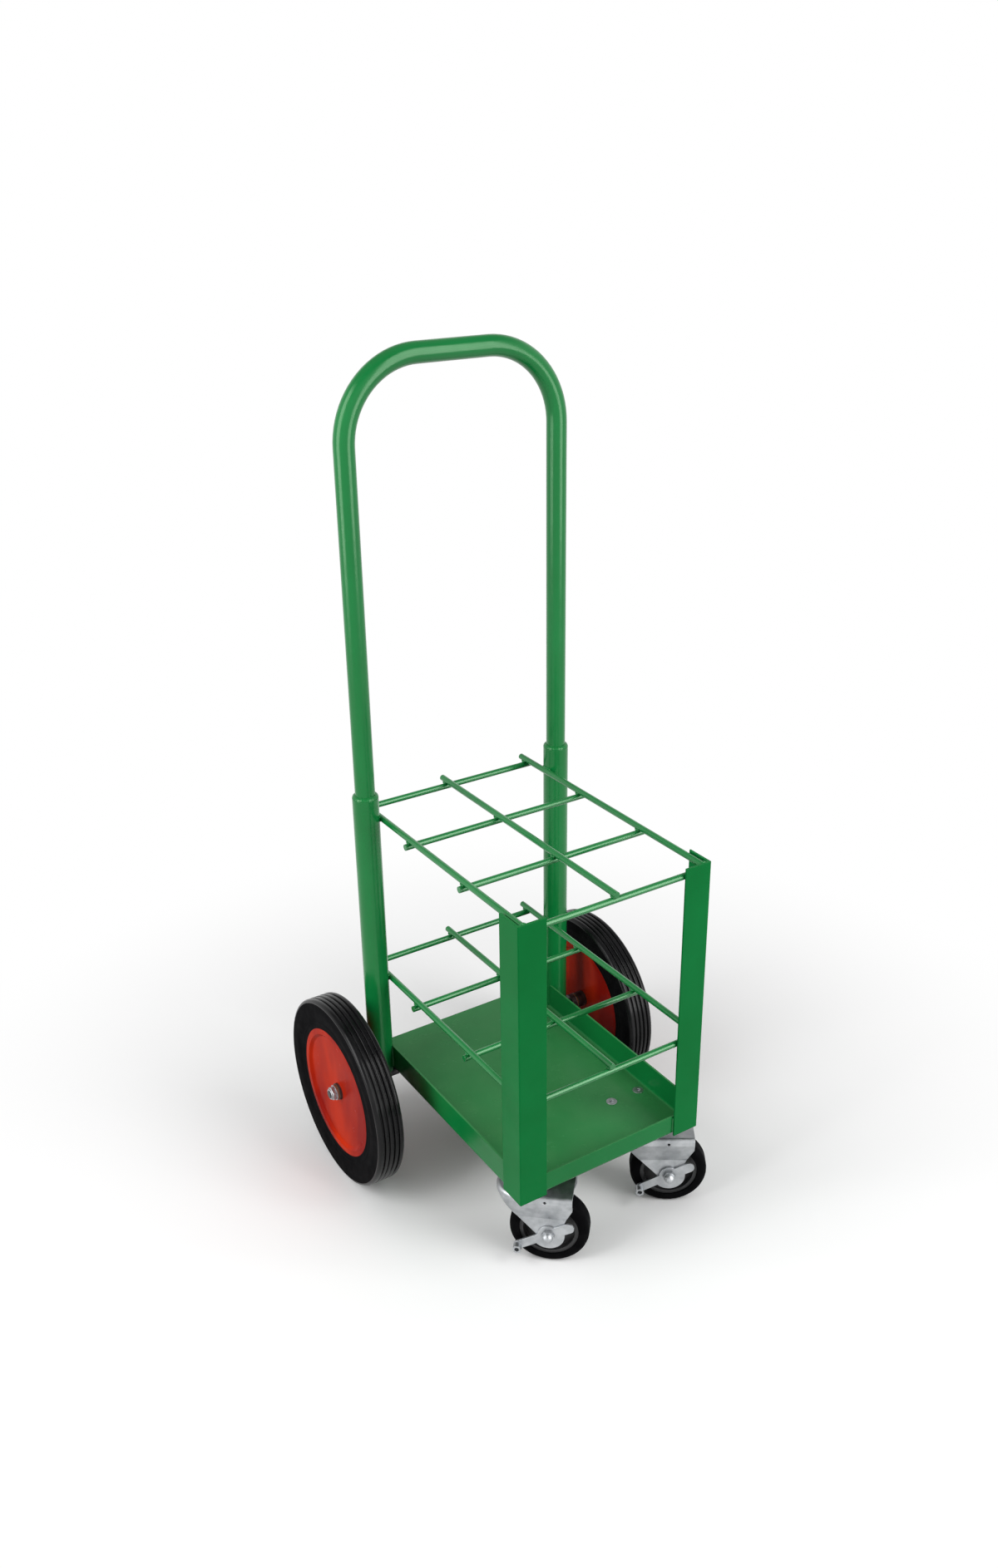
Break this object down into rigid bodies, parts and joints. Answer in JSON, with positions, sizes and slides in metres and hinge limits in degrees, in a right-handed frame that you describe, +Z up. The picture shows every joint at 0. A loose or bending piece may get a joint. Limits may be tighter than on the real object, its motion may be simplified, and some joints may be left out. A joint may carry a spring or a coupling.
{
  "type": "gas cylinder trolley",
  "caption": "Welded steel hand trolley with a grid of cells over a low tray, a tall tube handle, big rear wheels and braked swivel casters, for carrying small gas cylinders upright.",
  "frame": {"origin": "on the floor, under the middle of the outline", "axes": "+Z up, -Y the front where the casters are, X across, along the fixed axle, with +X to the right in a view along +Y"},
  "size_m": [0.4582, 0.4682, 1.0937],
  "materials": {
    "green_paint": "gloss",
    "red_paint": "gloss",
    "zinc": "satin",
    "hub_steel": "satin",
    "bush_bronze": "satin",
    "tyre_rubber": "matte",
    "caster_rubber": "satin",
    "core_plastic": "satin"
  },
  "bodies": {
    "frame": {"tray": "green_paint", "front_left_post": "green_paint", "front_right_post": "green_paint", "left_socket": "green_paint", "right_socket": "green_paint", "socket_welds": "green_paint", "handle": "green_paint", "upper_long_rods": "green_paint", "upper_cross_rods": "green_paint", "lower_long_rods": "green_paint", "lower_cross_rods": "green_paint", "axle": "hub_steel", "axle_welds": "green_paint", "axle_collars": "hub_steel", "axle_washers": "zinc", "axle_nuts": "zinc", "left_caster_plate": "zinc", "right_caster_plate": "zinc", "left_kingpin": "zinc", "right_kingpin": "zinc", "caster_bolts": "zinc"},
    "left_wheel": {"left_tyre": "tyre_rubber", "left_outer_disc": "red_paint", "left_inner_disc": "red_paint", "left_hub": "hub_steel", "left_wheel_bushes": "bush_bronze"},
    "left_caster": {"left_fork": "zinc", "left_swivel_balls": "zinc", "left_caster_axle": "zinc", "left_caster_bush": "zinc"},
    "left_caster_wheel": {"left_caster_tread": "caster_rubber", "left_caster_core": "core_plastic"},
    "left_brake": {"left_brake_lever": "zinc"},
    "right_wheel": {"right_tyre": "tyre_rubber", "right_outer_disc": "red_paint", "right_inner_disc": "red_paint", "right_hub": "hub_steel", "right_wheel_bushes": "bush_bronze"},
    "right_caster": {"right_fork": "zinc", "right_swivel_balls": "zinc", "right_caster_axle": "zinc", "right_caster_bush": "zinc"},
    "right_caster_wheel": {"right_caster_tread": "caster_rubber", "right_caster_core": "core_plastic"},
    "right_brake": {"right_brake_lever": "zinc"}
  },
  "joints": [
    {"name": "left_wheel_spin", "type": "hinge", "parent": "frame", "child": "left_wheel", "pos_m": [-0.203, 0.1031, 0.131], "axis": [1, 0, 0], "continuous": true},
    {"name": "left_caster_swivel", "type": "hinge", "parent": "frame", "child": "left_caster", "pos_m": [-0.095, -0.1659, 0.12], "axis": [0, 0, 1], "continuous": true},
    {"name": "left_caster_roll", "type": "hinge", "parent": "left_caster", "child": "left_caster_wheel", "pos_m": [-0.06788, -0.19032, 0.0508], "axis": [0.6691, 0.7431, 0], "continuous": true},
    {"name": "left_brake_press", "type": "hinge", "parent": "left_caster", "child": "left_brake", "pos_m": [-0.06788, -0.19032, 0.0508], "axis": [0.6691, 0.7431, 0], "range_deg": [0, 40]},
    {"name": "right_wheel_spin", "type": "hinge", "parent": "frame", "child": "right_wheel", "pos_m": [0.203, 0.1031, 0.131], "axis": [1, 0, 0], "continuous": true},
    {"name": "right_caster_swivel", "type": "hinge", "parent": "frame", "child": "right_caster", "pos_m": [0.095, -0.1659, 0.12], "axis": [0, 0, 1], "continuous": true},
    {"name": "right_caster_roll", "type": "hinge", "parent": "right_caster", "child": "right_caster_wheel", "pos_m": [0.12526, -0.18631, 0.0508], "axis": [0.5592, 0.829, 0], "continuous": true},
    {"name": "right_brake_press", "type": "hinge", "parent": "right_caster", "child": "right_brake", "pos_m": [0.12526, -0.18631, 0.0508], "axis": [0.5592, 0.829, 0], "range_deg": [0, 40]}
  ]
}
